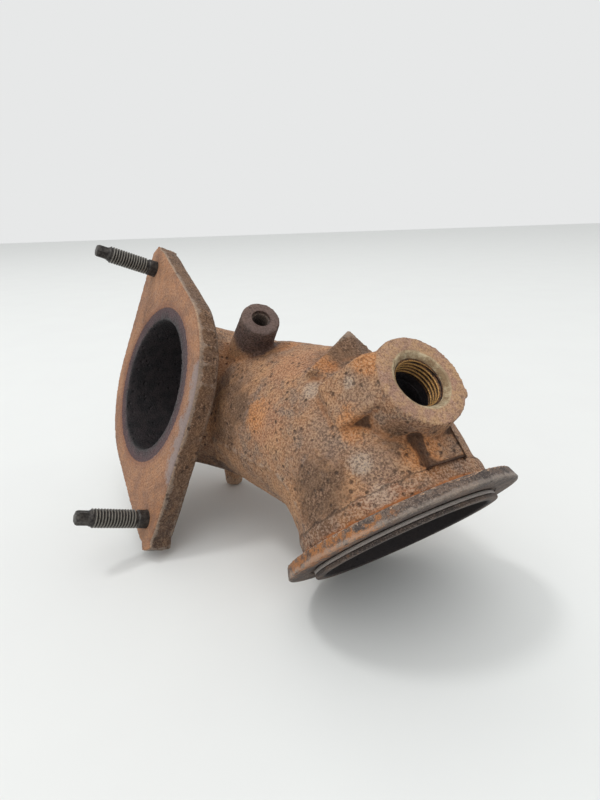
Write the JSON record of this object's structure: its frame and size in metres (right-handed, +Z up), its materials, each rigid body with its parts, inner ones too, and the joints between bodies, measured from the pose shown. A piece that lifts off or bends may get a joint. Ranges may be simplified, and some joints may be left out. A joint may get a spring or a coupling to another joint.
{
  "type": "exhaust outlet elbow",
  "caption": "Cast-iron exhaust elbow: two-bolt flange with studs, bent tube with a threaded sensor boss, round clamp flange with a grooved spigot.",
  "frame": {"origin": "middle of the bounding box at its underside, on the surface that the elbow lies on", "axes": "+Z up with the elbow resting on its lower flange tip, clamp rim and rear boss; +X level, from the inlet flange side towards the outlet side"},
  "size_m": [0.1784, 0.1662, 0.1298],
  "materials": {
    "rusted_iron": "rough sand-cast surface with brown and orange rust, machined faces rusted to a matt tan",
    "black_steel": "dark oxide, slightly worn on the thread crests",
    "ring_steel": "heat-stained bright steel"
  },
  "bodies": {
    "root": {"elbow_casting": "rusted_iron", "upper_stud": "black_steel", "lower_stud": "black_steel", "seal_ring": "ring_steel"}
  },
  "joints": []
}
